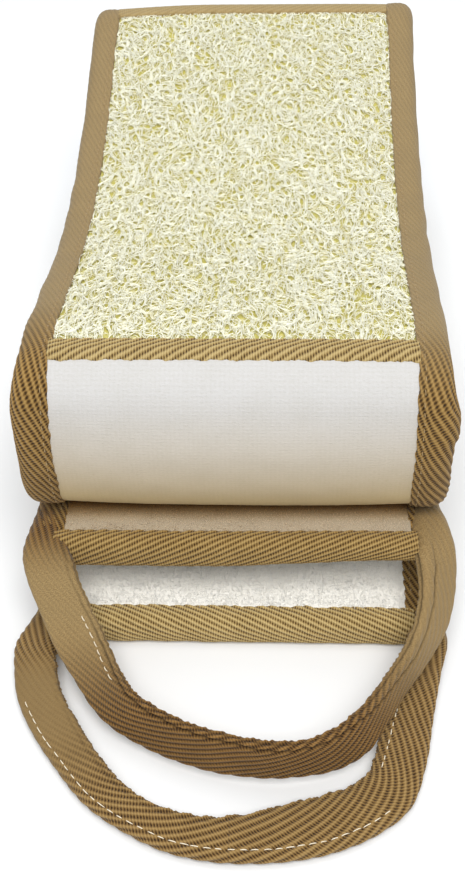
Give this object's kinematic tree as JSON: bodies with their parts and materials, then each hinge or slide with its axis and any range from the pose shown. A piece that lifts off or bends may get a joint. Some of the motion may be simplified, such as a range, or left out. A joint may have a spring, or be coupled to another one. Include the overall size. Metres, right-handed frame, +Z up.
{
  "type": "back scrubber strap",
  "caption": "Long padded back-scrubbing strap with a loofah panel, terry ends, tape-bound edges and a fabric loop handle at each end, stored folded.",
  "frame": {"origin": "centre of the base of the whole object's box, on the surface it lies on", "axes": "+X across the strap, +Y along it from the handles to the back fold, +Z up"},
  "size_m": [0.1186, 0.2982, 0.086],
  "materials": {
    "loofah": "open mat of pale natural loofah fibre",
    "terry": "off-white cotton terry, short pile",
    "wadding": "soft white wadding",
    "cotton_tape": "tan twill-woven cotton tape",
    "thread": "white sewing thread"
  },
  "bodies": {
    "lower_run": {"core_lower": "wadding", "back_terry_lower": "terry", "binding_left_lower": "cotton_tape", "binding_right_lower": "cotton_tape", "face_terry_lower": "terry", "end_binding_a": "cotton_tape"},
    "back_bend": {"core_back_fold": "wadding", "back_terry_back_fold": "terry", "binding_left_back_fold": "cotton_tape", "binding_right_back_fold": "cotton_tape", "face_terry_back_fold": "terry", "cross_band_back": "cotton_tape"},
    "top_run": {"core_top": "wadding", "back_terry_top": "terry", "binding_left_top": "cotton_tape", "binding_right_top": "cotton_tape", "loofah_panel": "loofah"},
    "front_bend": {"core_front_roll": "wadding", "back_terry_front_roll": "terry", "binding_left_front_roll": "cotton_tape", "binding_right_front_roll": "cotton_tape", "face_terry_front_roll": "terry", "cross_band_front": "cotton_tape"},
    "tucked_run": {"core_tucked": "wadding", "back_terry_tucked": "terry", "binding_left_tucked": "cotton_tape", "binding_right_tucked": "cotton_tape", "face_terry_tucked": "terry"},
    "inner_bend": {"core_inner_fold": "wadding", "back_terry_inner_fold": "terry", "binding_left_inner_fold": "cotton_tape", "binding_right_inner_fold": "cotton_tape", "face_terry_inner_fold": "terry"},
    "end_run": {"core_end": "wadding", "back_terry_end": "terry", "binding_left_end": "cotton_tape", "binding_right_end": "cotton_tape", "face_terry_end": "terry", "end_binding_b": "cotton_tape"},
    "loop_a": {"handle_a": "cotton_tape", "handle_a_stitches": "thread"},
    "loop_b": {"handle_b": "cotton_tape", "handle_b_stitches": "thread"}
  },
  "joints": [
    {"name": "back_fold_lower", "type": "hinge", "parent": "lower_run", "child": "back_bend", "pos_m": [0, 0.13992, 0.00917], "axis": [-1, 0, 0], "range_deg": [0, 90], "deforming": ["core_back_fold", "back_terry_back_fold", "binding_left_back_fold", "binding_right_back_fold", "face_terry_back_fold", "cross_band_back"]},
    {"name": "back_fold_upper", "type": "hinge", "parent": "back_bend", "child": "top_run", "pos_m": [0, 0.14158, 0.07791], "axis": [-1, 0, 0], "range_deg": [0, 90]},
    {"name": "front_fold_upper", "type": "hinge", "parent": "top_run", "child": "front_bend", "pos_m": [0, -0.06096, 0.07535], "axis": [-1, 0, 0], "range_deg": [0, 94], "deforming": ["core_front_roll", "back_terry_front_roll", "binding_left_front_roll", "binding_right_front_roll", "face_terry_front_roll", "cross_band_front"]},
    {"name": "front_fold_lower", "type": "hinge", "parent": "front_bend", "child": "tucked_run", "pos_m": [0, -0.05984, 0.03746], "axis": [-1, 0, 0], "range_deg": [0, 94]},
    {"name": "inner_fold_upper", "type": "hinge", "parent": "tucked_run", "child": "inner_bend", "pos_m": [0, 0.03917, 0.04437], "axis": [1, 0, 0], "range_deg": [0, 97.2], "deforming": ["core_inner_fold", "back_terry_inner_fold", "binding_left_inner_fold", "binding_right_inner_fold", "face_terry_inner_fold"]},
    {"name": "inner_fold_lower", "type": "hinge", "parent": "inner_bend", "child": "end_run", "pos_m": [0, 0.03951, 0.01839], "axis": [1, 0, 0], "range_deg": [0, 97.2]},
    {"name": "handle_b_swing", "type": "hinge", "parent": "end_run", "child": "loop_b", "pos_m": [0, -0.07249, 0.03201], "axis": [-1, 0, 0], "range_deg": [0, 110]},
    {"name": "handle_a_swing", "type": "hinge", "parent": "lower_run", "child": "loop_a", "pos_m": [0, -0.0793, 0.003], "axis": [-1, 0, 0], "range_deg": [0, 66]}
  ],
  "couplings": [
    {"joint": "back_fold_upper", "follows": "back_fold_lower", "ratio": 1},
    {"joint": "front_fold_upper", "follows": "back_fold_lower", "ratio": 1.0444},
    {"joint": "front_fold_lower", "follows": "back_fold_lower", "ratio": 1.0444},
    {"joint": "inner_fold_upper", "follows": "back_fold_lower", "ratio": 1.08},
    {"joint": "inner_fold_lower", "follows": "back_fold_lower", "ratio": 1.08},
    {"joint": "handle_a_swing", "follows": "handle_b_swing", "ratio": 0.6}
  ]
}
